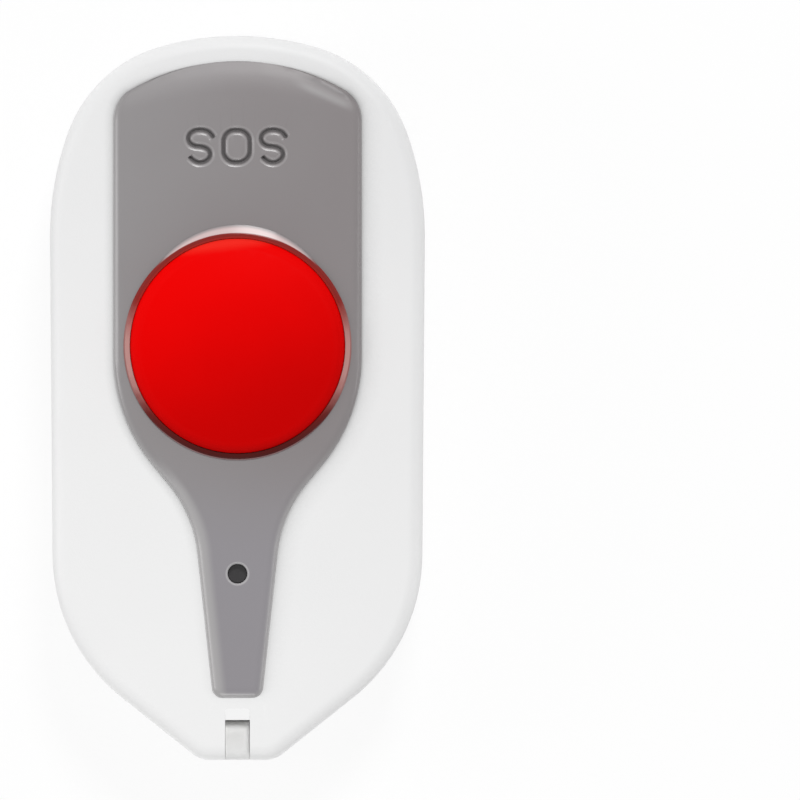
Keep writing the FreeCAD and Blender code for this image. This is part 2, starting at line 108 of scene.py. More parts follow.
class Recipe:
    # one material or the world: every node comes from add()
    def __init__(self, owner):
        owner.use_nodes = True
        self.owner = owner
        self.tree = owner.node_tree
        self.tree.nodes.clear()

    def add(self, kind, settings=None, inputs=None, output=0):
        node = self.tree.nodes.new(kind)
        for key, value in (settings or {}).items():
            setattr(node, key, value)
        for key, value in (inputs or {}).items():
            if isinstance(value, Signal):
                self.tree.links.new(value.socket, node.inputs[key])
            else:
                node.inputs[key].default_value = value
        return Signal(self, node.outputs[output] if node.outputs else None)

    def place(self):
        return self.add("ShaderNodeTexCoord", output="Object")

    def axes(self):
        # the three coordinates in mm
        split = self.add("ShaderNodeSeparateXYZ", inputs={0: self.place()})
        return [Signal(self, split.socket.node.outputs[axis]) * (1 / mm) for axis in "XYZ"]

    def span(self, signal, low, high):
        # 0 where the signal is low, 1 where it is high, and a soft turn between them
        limits = {0: signal, 1: low, 2: high}
        return self.add("ShaderNodeMapRange", {"interpolation_type": "SMOOTHSTEP"}, limits)

    def noise(self, size, detail=2.0, at=None):
        # soft grain about as coarse as size, in mm
        inputs = {"Vector": at or self.place(), "Scale": 1 / (size * mm), "Detail": detail}
        return self.add("ShaderNodeTexNoise", {}, inputs)

    def cells(self, size):
        return self.add("ShaderNodeTexVoronoi", {}, {"Vector": self.place(), "Scale": 1 / (size * mm)})

    def tint(self, factor, first, second):
        # colour that turns from first to second with the factor
        inputs = {0: factor, 6: shade(first), 7: shade(second)}
        return self.add("ShaderNodeMix", {"data_type": "RGBA"}, inputs, 2)

    def bump(self, height, depth):
        # height runs from 0 to 1, depth is in mm
        return self.add("ShaderNodeBump", {}, {"Height": height, "Distance": depth * mm, "Strength": 1.0})

    def finish(self, inputs):
        shader = self.add("ShaderNodeBsdfPrincipled", {}, inputs)
        self.show(shader)
        return self.owner

    def show(self, shader, kind="ShaderNodeOutputMaterial"):
        self.add(kind, {}, {"Surface": shader})


def shade(value):
    return value if isinstance(value, Signal) else (*value, 1.0)


def newRecipe(name):
    return Recipe(bpy.data.materials.new(name))


def awayFrom(x, y, middleY):
    # distance from the upright line through (0, middleY)
    return (x * x + (y - middleY) ** 2) ** 0.5


# For the finishes, sizes are in mm, and a pair of numbers is where a change starts and is complete

# Moulded white shell: fine spark-eroded grain, a little uneven in gloss
shellLook = {
    "tone": (0.885, 0.885, 0.885),
    "toneShadedTop": (0.775, 0.775, 0.778),
    "halfLength": 34.0,
    "lean": 0.55,  # how far the painted shade leans to the right
    "drift": 14.0,
    "driftShare": 0.3,
    "seam": (0.45, 0.43, 0.4),
    "seamHeight": 5.0,
    "seamShare": 0.06,
    "seamFade": 7,  # halvings in a millimetre
    "crevice": (0.5, 0.5, 0.5),
    "creviceSamples": 12,
    "creviceReach": 1.0,
    "creviceReachRight": 1.2,  # added on the right
    "crevicePower": 9.0,
    "crevicePowerRight": 4.5,  # added on the right
    "creviceFoot": (1.5, 3.0),  # none near the floor
    "creviceEase": 0.8,  # taken off beside the stem
    "creviceEaseRight": 0.5,  # less of that on the right
    "besideStem": (-8.0, -18.0),
    "rightSide": (1.5, 5.0),
    "eyeSide": (1.3, 1.25),
    "eyeTop": (-28.8, -29.0),
    "eyeFoot": (-35.5, -31.0),
    "eyeLevel": (10.6, 10.3),
    "paintedLighting": (0.76, 0.758, 0.75),  # painted shade in the eye; the corner's tone, also in the eye, is painted light
    "eyeShadeSize": 0.8,
    "eyeShadeShare": 0.6,
    "eyeShadeSpread": 0.8,
    "corner": (0.95, 0.95, 0.945),
    "cornerPower": 3,
    "cornerRight": (0.5, 0.9),
    "cornerLeft": (-1.0, -1.15),
    "grain": 0.16,
    "fineGrain": 0.096,
    "grainShare": 0.6,
    "grainDepth": 0.006,
    "roughness": 0.5,
    "roughnessSpread": 0.12,
    "wearAndShine": 3.5,
    "specular": 0.35,
}


def makeShellPlastic():
    look = shellLook
    recipe = newRecipe("whiteShell")
    x, y, z = recipe.axes()
    drift = recipe.noise(look["drift"], detail=3.0)
    grain = recipe.cells(look["grain"]) * look["grainShare"]
    fine = recipe.noise(look["fineGrain"], detail=3.0) * look["grainShare"]
    wearAndShine = recipe.noise(look["wearAndShine"], detail=6.0)
    # painted shade: the shell darker towards the top and the right, varied by drift
    upward = (y + x * look["lean"]) * (0.5 / look["halfLength"]) + 0.5
    colour = recipe.tint(upward + (drift - 0.5) * look["driftShare"], look["tone"], look["toneShadedTop"])
    dirt = 2 ** (abs(z - look["seamHeight"]) * -look["seamFade"])
    colour = recipe.tint(dirt * look["seamShare"], colour, look["seam"])

    # soft shade in the inner corners, wider on the right and weaker beside the stem
    rightward = recipe.span(x, *look["rightSide"])
    reach = (look["creviceReach"] + rightward * look["creviceReachRight"]) * mm
    samples = {"samples": look["creviceSamples"]}
    openness = recipe.add("ShaderNodeAmbientOcclusion", samples, {"Distance": reach}, "AO")
    inEye = recipe.span(abs(x), *look["eyeSide"]) * recipe.span(y, *look["eyeTop"])
    inEye = inEye * recipe.span(y, *look["eyeFoot"]) * recipe.span(z, *look["eyeLevel"])
    crevice = 1 - openness ** (rightward * look["crevicePowerRight"] + look["crevicePower"])
    crevice = crevice * recipe.span(z, *look["creviceFoot"]) * (1 - inEye)
    ease = look["creviceEase"] - rightward * look["creviceEaseRight"]
    crevice = crevice * (1 - recipe.span(y, *look["besideStem"]) * ease)
    colour = recipe.tint(crevice, colour, look["crevice"])

    # the eye in the nose: painted shade on its bar, varied by noise, and painted light in its corners
    eyeShade = look["eyeShadeShare"] + recipe.noise(look["eyeShadeSize"], detail=5.0) * look["eyeShadeSpread"]
    colour = recipe.tint(inEye * eyeShade, colour, look["paintedLighting"])
    corner = recipe.span(x, *look["cornerRight"]) + recipe.span(x, *look["cornerLeft"])
    corner = inEye * corner * (1 - openness ** look["cornerPower"])
    return recipe.finish({
        "Base Color": recipe.tint(corner, colour, look["corner"]),
        "Roughness": look["roughness"] + (wearAndShine - 0.5) * look["roughnessSpread"],
        "Specular IOR Level": look["specular"],
        "Normal": recipe.bump(grain + fine, look["grainDepth"]),
    })


# Moulded grey insert: satin, smoother than the shell
insertLook = {
    "tone": (0.266, 0.254, 0.258),
    "toneShadedRight": (0.222, 0.203, 0.206),
    "toneStem": (0.262, 0.249, 0.267),
    "halfWidth": 12.0,
    "drift": 9.0,
    "driftShare": 0.5,
    "buttonY": 4.87,
    "nearButton": (17.0, 11.0),
    "nearShare": 0.25,
    "upper": (9.0, 13.0),
    "upperShare": 0.12,
    "stem": (-4.0, -16.0),
    "faceLevel": 12.04,
    "belowCrown": (29.0, 26.5),
    "crownRoughness": 0.12,
    "grain": 0.11,
    "grainDepth": 0.003,
    "handled": 2.2,
    "roughness": 0.33,
    "roughnessSpread": 0.08,
    "specular": 0.55,
    "sheen": 0.7,
    "sheenRoughness": 0.3,
    "letters": {
        "side": (5.7, 5.6),
        "foot": (21.3, 21.4),
        "top": (26.0, 25.9),
        "paintedShade": (0.14, 0.132, 0.134),
        "paintedShadeDepth": (0.1, 0.28),  # below the face, and so are the next two
        "lipDepth": (0.004, 0.02),
        "lipFoot": (0.12, 0.07),
        "lipShare": 0.13,
        "paintedShadeShare": 0.8,
        "paintedShadeSpread": 0.3,
    },
    # painted highlight along the edges, at their foot and round the indicator hole
    "edges": {
        "paintedLighting": (0.38, 0.37, 0.372),
        "paintedHighlight": (0.62, 0.61, 0.61),
        "depth": (0.03, 0.3),  # below the face, and so is the next
        "footDepth": (0.33, 0.5),
        "leftward": (9.0, -3.0),
        "onStem": (-1.0, -9.0),
        "leftShare": 0.35,
        "stemShare": 0.6,
        "footShare": 0.35,
        "edgeShineShare": 0.7,
        "edgeShineSpread": 0.6,
        "indicatorY": -16.5,
        "indicatorLip": 1.02,
        "indicatorBand": (0.16, 0.0),
        "indicatorShare": 0.5,
    },
    "stemHighlight": {
        "stemTop": 10.84,  # below the origin, and so is neckFoot
        "stemTopHalf": 4.12,
        "stemTaper": 0.1076,
        "neckFoot": 14.3,
        "neckCurve": 0.05,
        "width": (1.5, 0.55),
        "foot": (-5.0, -9.0),
        "share": 0.9,
    },
    "highlightStreak": {
        "turn": 65.7,  # the way in which its reach is measured from the origin, in degrees
        "start": (-8.0, -5.5),
        "end": (-0.8, -2.6),
        "reach": 29.24,
        "half": 0.6,
        "share": 0.5,
        "shadeFoldReach": 30.05,
        "shadeFoldHalf": 0.36,
        "shadeFoldShare": 0.5,
    },
}


def onLetters(recipe, x, y):
    # 1 in the field that holds the letters
    look = insertLook["letters"]
    upright = recipe.span(y, *look["foot"]) * recipe.span(y, *look["top"])
    return upright * recipe.span(abs(x), *look["side"])


def onStemHighlight(recipe, x, y):
    # painted highlight down the stem's left edge, which follows the taper and the curve of the neck
    look = insertLook["stemHighlight"]
    aboveNeck = y + look["neckFoot"]
    aboveNeck = (aboveNeck + abs(aboveNeck)) * 0.5
    half = look["stemTopHalf"] + (y + look["stemTop"]) * look["stemTaper"]
    half = half + aboveNeck ** 2 * look["neckCurve"]
    return recipe.span(x + half, *look["width"]) * recipe.span(y, *look["foot"]) * look["share"]


def atUpperCorner(recipe, x, y):
    # painted highlight streak on the upper right corner, and the painted shade of the fold outside it
    look = insertLook["highlightStreak"]
    turn = math.radians(look["turn"])
    across = x * math.cos(turn) + y * math.sin(turn)
    along = x * math.sin(turn) - y * math.cos(turn)
    ends = recipe.span(along, *look["start"]) * recipe.span(along, *look["end"])
    highlightStreak = recipe.span(abs(across - look["reach"]), look["half"], 0.0) * ends
    shadeFold = recipe.span(abs(across - look["shadeFoldReach"]), look["shadeFoldHalf"], 0.0) * ends
    return highlightStreak * look["share"], shadeFold * look["shadeFoldShare"]


def makeInsertPlastic():
    look = insertLook
    wearAndShine = look["edges"]
    text = look["letters"]
    recipe = newRecipe("greyInsert")
    x, y, z = recipe.axes()
    drift = recipe.noise(look["drift"], detail=4.0)
    grain = recipe.noise(look["grain"])
    handled = recipe.noise(look["handled"], detail=7.0)
    depth = look["faceLevel"] - z
    letters = onLetters(recipe, x, y)
    belowCrown = recipe.span(y, *look["belowCrown"])
    outside = belowCrown * (1 - letters)

    # painted shade: darker to the right, above the button and beside it
    nearButton = recipe.span(awayFrom(x, y, look["buttonY"]), *look["nearButton"])
    rightward = x * (0.5 / look["halfWidth"]) + 0.5 + nearButton * look["nearShare"]
    rightward = rightward + recipe.span(y, *look["upper"]) * look["upperShare"]
    colour = recipe.tint(rightward + (drift - 0.5) * look["driftShare"], look["tone"], look["toneShadedRight"])
    colour = recipe.tint(recipe.span(y, *look["stem"]), colour, look["toneStem"])

    # painted highlight along its edges, most on the left and down the stem, varied by noise
    leftward = recipe.span(x, *wearAndShine["leftward"]) * wearAndShine["leftShare"]
    onStem = recipe.span(y, *wearAndShine["onStem"]) * wearAndShine["stemShare"]
    edge = recipe.span(depth, *wearAndShine["depth"]) * outside * (leftward + onStem)
    edge = edge * (wearAndShine["edgeShineShare"] + handled * wearAndShine["edgeShineSpread"])
    highlightStreak, shadeFold = atUpperCorner(recipe, x, y)
    # adds the painted highlight down the stem's left edge and the painted highlight streak on the upper
    # right corner
    edge = edge + onStemHighlight(recipe, x, y) + highlightStreak
    colour = recipe.tint(edge, colour, wearAndShine["paintedLighting"])
    # painted shade of the fold beside the corner's streak
    colour = recipe.tint(shadeFold, colour, text["paintedShade"])

    # painted highlight at the foot of the edges, round the indicator hole and on the letters' lips
    foot = recipe.span(depth, *wearAndShine["footDepth"]) * outside * (leftward + wearAndShine["footShare"])
    holeEdge = abs(awayFrom(x, y, wearAndShine["indicatorY"]) - wearAndShine["indicatorLip"])
    holeLip = recipe.span(holeEdge, *wearAndShine["indicatorBand"]) * wearAndShine["indicatorShare"]
    lips = letters * recipe.span(depth, *text["lipDepth"]) * recipe.span(depth, *text["lipFoot"])
    colour = recipe.tint(foot + holeLip + lips * text["lipShare"], colour, wearAndShine["paintedHighlight"])
    # painted shade deep in the letters' grooves, varied by noise
    paintedShade = letters * recipe.span(depth, *text["paintedShadeDepth"])
    paintedShade = paintedShade * (text["paintedShadeShare"] + handled * text["paintedShadeSpread"])
    satin = look["roughness"] + (handled - 0.5) * look["roughnessSpread"]
    return recipe.finish({
        "Base Color": recipe.tint(paintedShade, colour, text["paintedShade"]),
        "Roughness": satin + (1 - belowCrown) * look["crownRoughness"],
        "Specular IOR Level": look["specular"],
        "Sheen Weight": look["sheen"],
        "Sheen Roughness": look["sheenRoughness"],
        "Normal": recipe.bump(grain, look["grainDepth"]),
    })


# Red thumb button: satin moulding, rubbed smoother where the thumb lies
buttonLook = {
    "toneLitUpper": (0.86, 0.0, 0.0),
    "toneShadedLower": (0.57, 0.0, 0.0),
    "centreY": 4.87,
    "radius": 10.04,
    "shadeRight": 0.2,
    "shadeDown": 0.52,
    "drift": 5.0,
    "driftShare": 0.15,
    # painted highlight along the upper edge
    "glow": (0.88, 0.022, 0.014),
    "highlightLean": 0.12,
    "highlightUp": 0.99,
    "highlightBand": (8.7, 9.7),
    "roughness": 0.34,
    "handled": 1.1,
    "roughnessSpread": 0.08,
    "thumb": (7.5, 3.0),
    "thumbRubbed": 0.05,
    "rim": (8.9, 9.3),
    "rimRoughness": 0.35,
    "specular": 0.04,
    "ripple": 1.6,
    "rippleDepth": 0.0015,
}


def makeButtonPlastic():
    look = buttonLook
    recipe = newRecipe("redButton")
    x, y = recipe.axes()[:2]
    up = y - look["centreY"]
    fromCentre = awayFrom(x, y, look["centreY"])
    drift = recipe.noise(look["drift"], detail=3.0)
    ripple = recipe.noise(look["ripple"])
    handled = recipe.noise(look["handled"], detail=8.0)
    # painted light and shade: lighter at the top, darker downwards and to the right, varied by drift
    shading = (x * look["shadeRight"] - up * look["shadeDown"]) * (1 / look["radius"]) + 0.5
    shading = recipe.span(shading + (drift - 0.5) * look["driftShare"], 0.0, 1.0)
    colour = recipe.tint(shading, look["toneLitUpper"], look["toneShadedLower"])
    # painted highlight in a band along the upper edge, leaning a little left
    highlighted = recipe.span(up * look["highlightUp"] - x * look["highlightLean"], *look["highlightBand"])
    satin = look["roughness"] - recipe.span(fromCentre, *look["thumb"]) * look["thumbRubbed"]
    satin = satin + recipe.span(fromCentre, *look["rim"]) * look["rimRoughness"]
    return recipe.finish({
        "Base Color": recipe.tint(highlighted, colour, look["glow"]),
        "Roughness": satin + (handled - 0.5) * look["roughnessSpread"],
        "Specular IOR Level": look["specular"],
        "Normal": recipe.bump(ripple, look["rippleDepth"]),
    })


# Collar: clear plastic that the red of the button shows through; painted reflections make it palest at the
# sides, a painted highlight makes the crescent pale, and painted shade darkens its top and bottom
collarLook = {
    "side": (0.49, 0.265, 0.245),
    "reflectionY": 3.77,
    "reflectionSpan": (5.6, 1.0),
    "reflectionDrift": 1.2,
    "top": (0.245, 0.02, 0.016),
    "topInside": (0.39, 0.02, 0.014),
    "bottom": (0.068, 0.005, 0.004),
    "shadedBottomSpan": (-10.5, 0.0),
    "centreY": 4.87,
    "outerRadius": 10.69,
    "inside": (0.34, 0.59),  # in from the outer radius, and so are the next three
    "rim": (0.16, 0.08),
    "paleLowRim": (0.1, 0.04),
    "outside": (0.12, 0.04),
    "outline": (0.33, 0.135, 0.125),
    "outlineLow": (0.32, 0.17, 0.175),
    "lowSpan": (-6.5, -9.5),
    "crescent": (0.66, 0.515, 0.51),
    "crescentFade": (0.28, 0.26, 0.265),
    "crescentY": 6.92,
    "crescentRadius": 9.35,
    "crescentBand": (0.45, 0.0),  # in from the crescent's radius
    "crescentSpan": (7.2, 8.6),
    "roughness": 0.18,
    "roughnessSpread": 0.06,
    "specular": 0.12,
    "flow": 0.8,
    "flowDepth": 0.002,
}


def makeCollarPlastic():
    look = collarLook
    recipe = newRecipe("clearCollar")
    x, y = recipe.axes()[:2]
    up = y - look["centreY"]
    inset = look["outerRadius"] - awayFrom(x, y, look["centreY"])
    flow = recipe.noise(look["flow"], detail=3.0)
    # painted shade at the top, paler towards the inside, and darkest painted shade at the bottom
    top = recipe.tint(recipe.span(inset, *look["inside"]), look["top"], look["topInside"])
    ends = recipe.tint(recipe.span(up, *look["shadedBottomSpan"]), look["bottom"], top)
    # painted reflections make it pale at the sides, with a painted dark line at the rim there and a painted
    # pale rim low down
    reflecting = recipe.span(abs(y - look["reflectionY"]) + (flow - 0.5) * look["reflectionDrift"], *look["reflectionSpan"])
    ring = recipe.tint(reflecting, ends, look["side"])
    ring = recipe.tint(recipe.span(inset, *look["rim"]) * reflecting, ring, look["outline"])
    paleLowRim = recipe.span(inset, *look["paleLowRim"]) * recipe.span(up, *look["lowSpan"])
    ring = recipe.tint(paleLowRim, ring, look["outlineLow"])
    # painted highlight in the crescent above the ring, fading to grey at its edge
    fade = recipe.span(look["crescentRadius"] - awayFrom(x, y, look["crescentY"]), *look["crescentBand"])
    crescent = recipe.tint(fade, look["crescent"], look["crescentFade"])
    onCrescent = recipe.span(inset, *look["outside"]) * recipe.span(up, *look["crescentSpan"])
    return recipe.finish({
        "Base Color": recipe.tint(onCrescent, ring, crescent),
        "Roughness": look["roughness"] + (flow - 0.5) * look["roughnessSpread"],
        "Specular IOR Level": look["specular"],
        "Normal": recipe.bump(flow, look["flowDepth"]),
    })


# Smoked rod behind the indicator hole
guideLook = {
    "tone": (0.042, 0.04, 0.042),
    "toneLow": (0.03, 0.028, 0.03),
    "specular": 0.35,
    "roughness": 0.2,
    "roughnessSpread": 0.1,
    "sawn": 0.25,
    "sawnDepth": 0.003,
}


def makeGuidePlastic():
    look = guideLook
    recipe = newRecipe("darkGuide")
    swirl = recipe.noise(look["sawn"], detail=4.0)
    return recipe.finish({
        "Base Color": recipe.tint(swirl, look["tone"], look["toneLow"]),
        "Roughness": look["roughness"] + swirl * look["roughnessSpread"],
        "Specular IOR Level": look["specular"],
        "Normal": recipe.bump(swirl, look["sawnDepth"]),
    })


# Plated and tinned metals inside, with strokes drawn out along Y
metalLook = {
    "steel": {"tone": (0.62, 0.61, 0.6), "toneLow": (0.5, 0.49, 0.48), "roughness": 0.3, "stroke": 0.05},
    "tin": {"tone": (0.72, 0.72, 0.7), "toneLow": (0.6, 0.6, 0.59), "roughness": 0.38, "stroke": 0.12},
    "stretch": (1.0, 0.08, 1.0),  # of both metals, and so are the next three
    "roughnessSpread": 0.15,
    "strokeDepth": 0.002,
    "stain": 1.8,
}


def makeMetal(name):
    look = metalLook[name]
    recipe = newRecipe(name)
    drawn = {0: recipe.place(), 1: metalLook["stretch"]}
    spot = recipe.add("ShaderNodeVectorMath", {"operation": "MULTIPLY"}, drawn)
    strokes = recipe.noise(look["stroke"], detail=3.0, at=spot)
    stain = recipe.noise(metalLook["stain"], detail=4.0)
    return recipe.finish({
        "Base Color": recipe.tint(stain, look["tone"], look["toneLow"]),
        "Metallic": 1.0,
        "Roughness": look["roughness"] + strokes * metalLook["roughnessSpread"],
        "Normal": recipe.bump(strokes, metalLook["strokeDepth"]),
    })


# Plain inner mouldings: silicone, black plastic, the chip's epoxy, the lamp's resin and ceramic
innerLook = {
    "silicone": {
        "tone": (0.62, 0.62, 0.6), "toneLow": (0.54, 0.54, 0.53), "roughness": 0.6, "grain": 0.3,
    },
    "innerPlastic": {
        "tone": (0.05, 0.05, 0.05), "toneLow": (0.035, 0.035, 0.035), "roughness": 0.5, "grain": 0.12,
    },
    "chipBlack": {
        "tone": (0.04, 0.04, 0.042), "toneLow": (0.025, 0.025, 0.027), "roughness": 0.65, "grain": 0.06,
    },
    "lampResin": {
        "tone": (0.82, 0.81, 0.7), "toneLow": (0.76, 0.74, 0.6), "roughness": 0.25, "grain": 0.2,
    },
    "ceramic": {
        "tone": (0.47, 0.34, 0.21), "toneLow": (0.38, 0.27, 0.16), "roughness": 0.55, "grain": 0.08,
    },
    "driftTimes": 8,  # how much coarser the change of tone is than the grain, in all of them
    "roughnessSpread": 0.2,
    "depth": 0.004,
}


def makeInner(name):
    look = innerLook[name]
    recipe = newRecipe(name)
    drift = recipe.noise(look["grain"] * innerLook["driftTimes"], detail=3.0)
    grain = recipe.noise(look["grain"], detail=4.0)
    return recipe.finish({
        "Base Color": recipe.tint(drift, look["tone"], look["toneLow"]),
        "Roughness": look["roughness"] + (grain - 0.5) * innerLook["roughnessSpread"],
        "Normal": recipe.bump(grain, innerLook["depth"]),
    })


# Circuit board: green lacquer over copper tracks
boardLook = {
    "lacquer": (0.02, 0.17, 0.06),
    "overCopper": (0.05, 0.27, 0.1),
    "trackPitch": 1.3,
    "trackLength": 2.6,  # in pitches, and so are the width and the gap
    "trackWidth": 0.55,
    "gap": 0.09,
    "gapSoft": 0.2,
    "trackOffset": 0.37,  # of a length, from row to row
    "trackDepth": 0.03,
    "trackShare": 0.8,
    "weave": 0.25,
    "weaveShare": 0.2,
    "roughness": 0.28,
    "roughnessSpread": 0.12,
}


def makeBoard():
    look = boardLook
    recipe = newRecipe("boardLacquer")
    tracks = recipe.add("ShaderNodeTexBrick", {"offset": look["trackOffset"], "squash": 1.0}, {
        "Vector": recipe.place(),
        "Scale": 1 / (look["trackPitch"] * mm),
        "Mortar Size": look["gap"],
        "Mortar Smooth": look["gapSoft"],
        "Brick Width": look["trackLength"],
        "Row Height": look["trackWidth"],
    }, "Fac")
    weave = recipe.noise(look["weave"])
    return recipe.finish({
        "Base Color": recipe.tint(tracks, look["lacquer"], look["overCopper"]),
        "Roughness": look["roughness"] + weave * look["roughnessSpread"],
        "Normal": recipe.bump(tracks * look["trackShare"] + weave * look["weaveShare"], look["trackDepth"]),
    })


finishes = {
    "white_shell": makeShellPlastic(),
    "grey_insert": makeInsertPlastic(),
    "clear_collar": makeCollarPlastic(),
    "red_button": makeButtonPlastic(),
    "dark_guide": makeGuidePlastic(),
    "steel": makeMetal("steel"),
    "tin": makeMetal("tin"),
    "silicone": makeInner("silicone"),
    "inner_plastic": makeInner("innerPlastic"),
    "chip_black": makeInner("chipBlack"),
    "led": makeInner("lampResin"),
    "capacitor": makeInner("ceramic"),
    "board": makeBoard(),
}
for subpart in frame["record"]["subparts"]:
    finish = finishes[subpart["material_slot"]]
    part = nodes[subpart["node"]]
    for slot in part.material_slots:
        slot.material = finish
print("finishes made:", len(finishes))


# Solids that are reshaped a little: joined copies of the CAD meshes
joinGap = 0.002  # in mm


def closedCopy(name, node):
    # the CAD solid's mesh with its faces joined, ready for cutting and rounding
    joined = bmesh.new()
    joined.from_mesh(nodes[node].data)
    bmesh.ops.remove_doubles(joined, verts=joined.verts, dist=joinGap * mm)
    mesh = bpy.data.meshes.new(name)
    joined.to_mesh(mesh)
    joined.free()
    if "custom_normal" in mesh.attributes:
        mesh.attributes.remove(mesh.attributes["custom_normal"])
    piece = bpy.data.objects.new(name, mesh)
    scene.collection.objects.link(piece)
    return piece


def standFor(piece, node, slot, sharpAngle):
    piece.data.materials.clear()
    piece.data.materials.append(finishes[slot])
    piece.data.shade_smooth()
    piece.data.set_sharp_from_angle(angle=math.radians(sharpAngle))
    smooth = piece.modifiers.new("evenShading", "WEIGHTED_NORMAL")
    smooth.keep_sharp = True
    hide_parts(node)


def middleOf(node):
    low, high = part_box(node)
    return (low + high) / 2


def flatDistance(place, other):
    return math.hypot(place.x - other.x, place.y - other.y)


leastOutward = 0.2  # share of a normal that points outwards before its vertex moves
outwardGain = 1.5  # the higher, the sooner it moves the whole way


def spreadWall(mesh, amount, belongs):
    # moves the chosen walls outwards by some hundredths, so that a fit shows no black line
    wall = bmesh.new()
    wall.from_mesh(mesh)
    wall.normal_update()
    moves = []
    for vert in wall.verts:
        outward = Vector((vert.normal.x, vert.normal.y, 0))
        if outward.length > leastOutward and belongs(vert.co):
            share = min(1.0, outward.length * outwardGain)
            moves.append((vert, outward.normalized() * amount * mm * share))
    for vert, move in moves:
        vert.co += move
    wall.to_mesh(mesh)
    wall.free()


# Insert: the CAD solid with its letters pressed in, and its walls moved out to its neighbours; sizes in mm
insertForm = {
    "middleY": 23.62,
    "places": {"S": (-3.49, 3.34), "O": (-0.085,)},  # where each letter's middle is in X
    "groove": [  # half of its section, across and up, from the rounded lip to the bottom
        (0.55, 0.014), (0.45, -0.018), (0.355, -0.055), (0.27, -0.098),
        (0.205, -0.165), (0.145, -0.26), (0.075, -0.36), (0.0, -0.44),
    ],
    "above": 0.2,
    "endSize": 0.2,
    "curveSteps": 5,
    "cornerSteps": 6,
    "holeRadius": 11.4,
    "guideRadius": 1.5,
    "wallDepth": 1.2,
    "spreadOutside": 0.11,
    "spreadHole": 0.05,
    "sharpAngle": 32,  # in degrees
}
strokeS = [
    (1.31, 0.74), (1.18, 0.91), (0.85, 1.31), (0.39, 1.5), (-0.04, 1.54), (-0.5, 1.47),
    (-0.95, 1.18), (-1.13, 0.74), (-0.96, 0.29), (-0.53, 0.05), (0.0, -0.02), (0.44, -0.13),
    (0.8, -0.39), (0.93, -0.78), (0.76, -1.19), (0.4, -1.45), (-0.02, -1.52), (-0.44, -1.43),
    (-0.75, -1.23), (-0.92, -1.07), (-1.03, -0.93),
]
ringO = {"halfWidth": 1.23, "halfHeight": 1.5, "corner": 1.06}


def roundedRing(size, steps):
    # points of an upright rounded box, anticlockwise
    points = []
    across = size["halfWidth"] - size["corner"]
    upward = size["halfHeight"] - size["corner"]
    for quarter, (signX, signY) in enumerate(((1, 1), (-1, 1), (-1, -1), (1, -1))):
        for step in range(steps + 1):
            angle = math.radians(90 * quarter + 90 / steps * step)
            points.append((signX * across + size["corner"] * math.cos(angle),
                           signY * upward + size["corner"] * math.sin(angle)))
    return points


def smoothRun(points, closed, steps):
    # points between the given ones, on a curve that passes through them all
    count = len(points)
    run = []
    for index in range(count if closed else count - 1):
        near = [points[(index + shift) % count if closed else min(max(index + shift, 0), count - 1)]
                for shift in (-1, 0, 1, 2)]
        a, b, c, d = [Vector(point) for point in near]
        for step in range(steps):
            t = step / steps
            run.append(((2 * b) + (c - a) * t + (2 * a - 5 * b + 4 * c - d) * t * t
                        + (3 * b - a - 3 * c + d) * t * t * t) / 2)
    if not closed:
        run.append(Vector(points[-1]))
    return run


def grooveSection():
    # across and up, from the right lip round the bottom to the left one
    half = insertForm["groove"]
    wide = half[0][0]
    lid = insertForm["above"]
    return [(wide, lid)] + half + [(-across, up) for across, up in half[-2::-1]] + [(-wide, lid)]


def strokeSize(index, count, closed):
    # an open stroke grows smaller towards its ends
    if closed:
        return 1.0
    least = insertForm["endSize"]
    fromEnd = min(index, count - 1 - index) / insertForm["curveSteps"]
    return min(1.0, least + (1 - least) * math.sin(min(fromEnd, 1.0) * math.pi / 2))


def letterCutter(letter, x, height):
    # the groove's section carried along the letter's line
    look = insertForm
    closed = letter == "O"
    line = roundedRing(ringO, look["cornerSteps"]) if closed else strokeS
    run = smoothRun(line, closed, look["curveSteps"])
    section = grooveSection()
    shape = bmesh.new()
    rings = []
    count = len(run)
    for index, point in enumerate(run):
        before = run[index - 1] if closed or index else point
        after = run[(index + 1) % count] if closed or index < count - 1 else point
        along = (after - before).normalized()
        size = strokeSize(index, count, closed)
        ring = []
        for across, up in section:
            lift = up if up > 0 else up * size
            spot = Vector((x, look["middleY"])) + point + Vector((along.y, -along.x)) * across * size
            ring.append(shape.verts.new((spot.x * mm, spot.y * mm, height + lift * mm)))
        rings.append(ring)
    for index in range(count if closed else count - 1):
        first, second = rings[index], rings[(index + 1) % count]
        for side in range(len(section)):
            turn = (side + 1) % len(section)
            shape.faces.new((first[side], first[turn], second[turn], second[side]))
    if not closed:
        shape.faces.new(rings[0][::-1])
        shape.faces.new(rings[-1])
    bmesh.ops.recalc_face_normals(shape, faces=shape.faces)
    mesh = bpy.data.meshes.new("cutter" + letter)
    shape.to_mesh(mesh)
    shape.free()
    cutter = bpy.data.objects.new("cutter" + letter, mesh)
    scene.collection.objects.link(cutter)
    return cutter


def meshOf(part):
    bpy.context.view_layer.update()
    shown = part.evaluated_get(bpy.context.evaluated_depsgraph_get())
    return bpy.data.meshes.new_from_object(shown)


